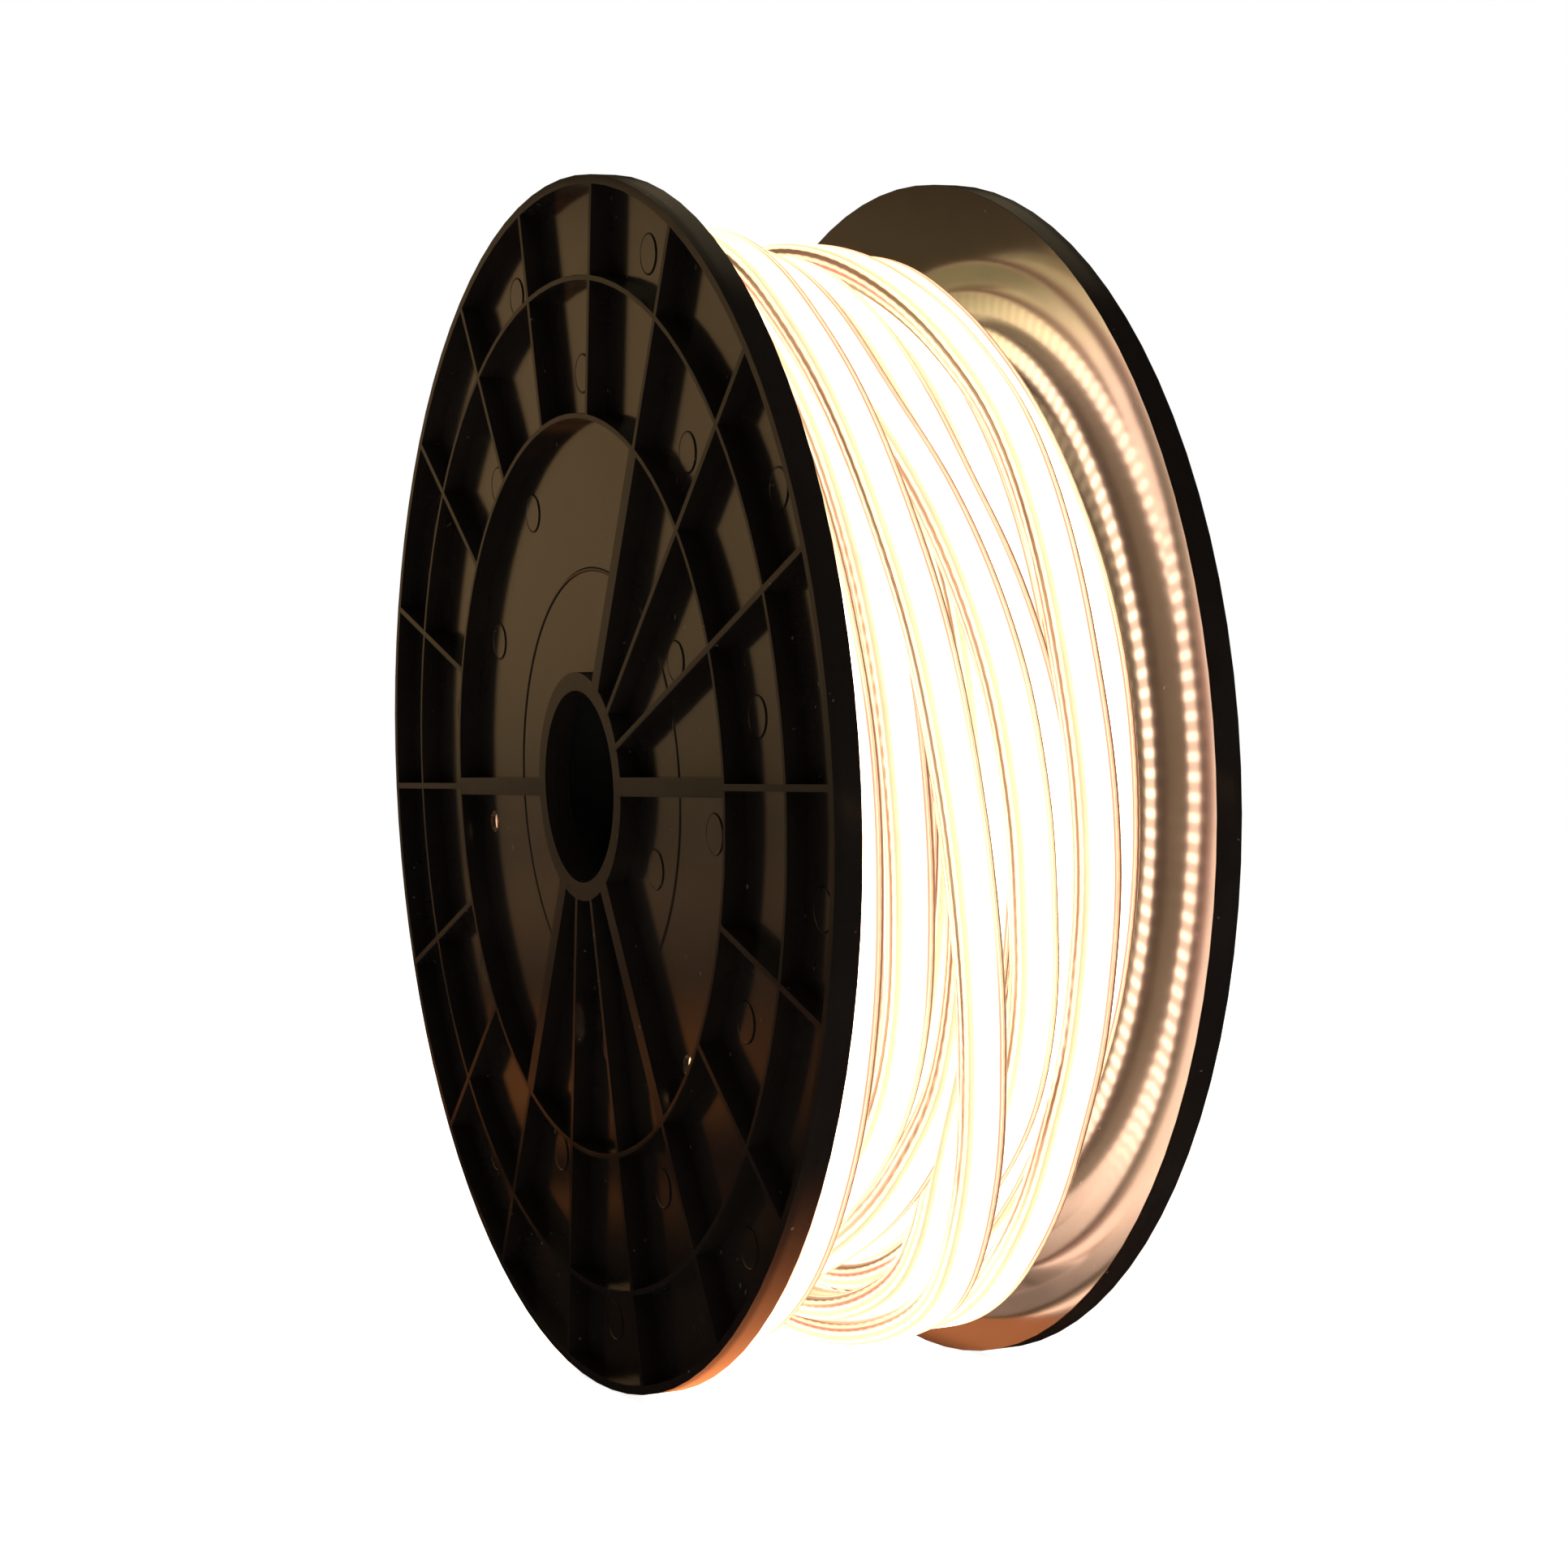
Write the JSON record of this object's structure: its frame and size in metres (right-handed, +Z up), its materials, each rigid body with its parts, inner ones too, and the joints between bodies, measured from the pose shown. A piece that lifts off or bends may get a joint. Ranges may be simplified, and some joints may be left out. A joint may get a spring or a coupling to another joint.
{
  "type": "led rope light on spool",
  "caption": "Flat clear-jacketed LED rope light wound in layers on a black moulded spool with two ribbed round flanges and a hollow core.",
  "frame": {"origin": "on the floor, midway between the two flanges and straight below the spool's axis", "axes": "+X along the spool's axis from the left flange to the right flange, +Z up"},
  "size_m": [0.099, 0.3, 0.2998],
  "materials": {
    "black_plastic": "gloss black moulded plastic",
    "core_plastic": "plain matt black plastic",
    "lit_rope": "clear flexible PVC over a lit warm white LED strip"
  },
  "bodies": {
    "root": {"flange_left": "black_plastic", "flange_right": "black_plastic", "core_tube": "core_plastic", "rope_winding": "lit_rope"}
  },
  "joints": []
}
